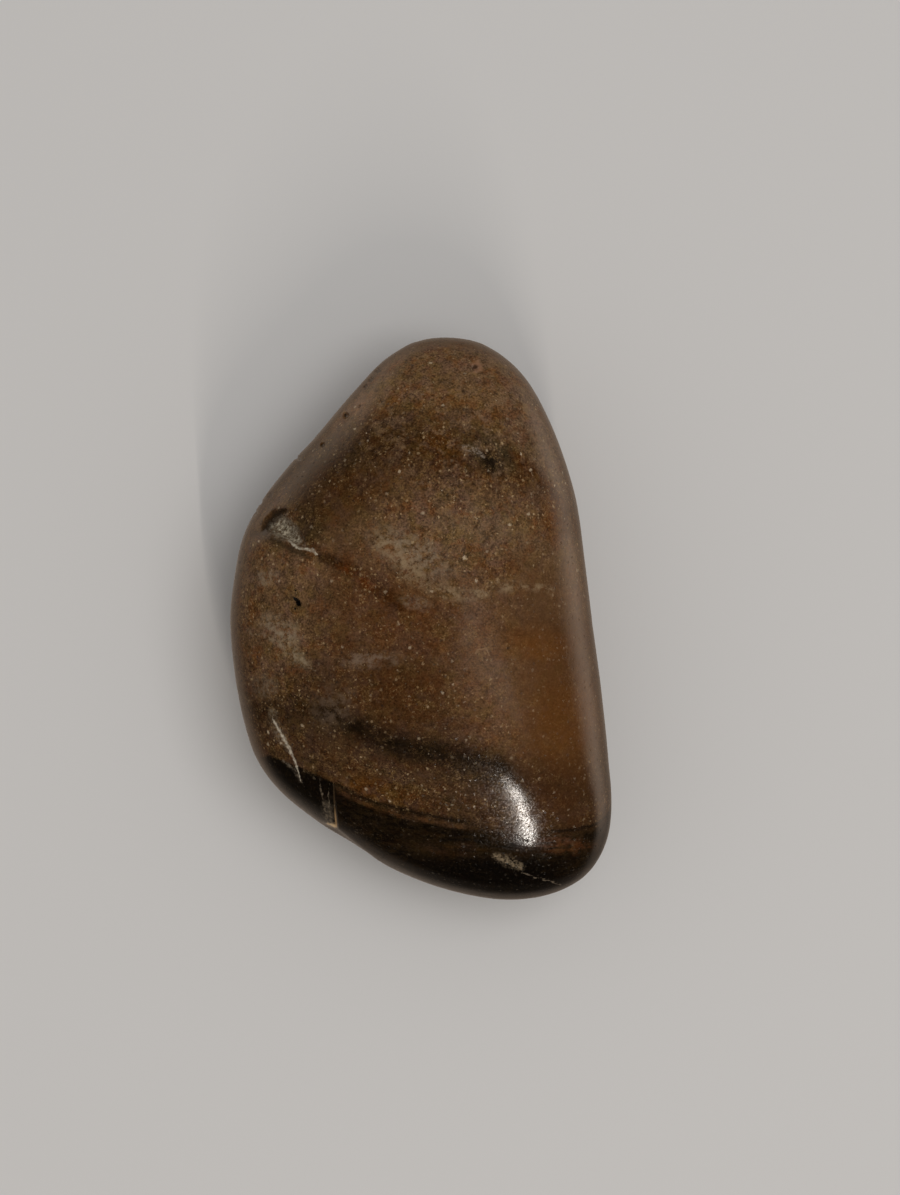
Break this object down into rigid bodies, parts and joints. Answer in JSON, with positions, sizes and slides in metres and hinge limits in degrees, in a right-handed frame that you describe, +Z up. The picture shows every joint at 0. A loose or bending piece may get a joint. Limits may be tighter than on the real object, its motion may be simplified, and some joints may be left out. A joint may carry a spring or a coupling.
{
  "type": "banded jasper pebble",
  "caption": "Tumbled pebble of banded jasper, a smooth blunt wedge that lies on its broad side.",
  "frame": {"origin": "on the table, under the middle of the pebble's length and width", "axes": "+Z up, +Y along the length towards the narrow end, +X towards the straight side; the broad side lies on z = 0"},
  "size_m": [0.0283, 0.042, 0.0171],
  "materials": {
    "jasper": "satin"
  },
  "bodies": {
    "root": {"banded_jasper": "jasper"}
  },
  "joints": []
}
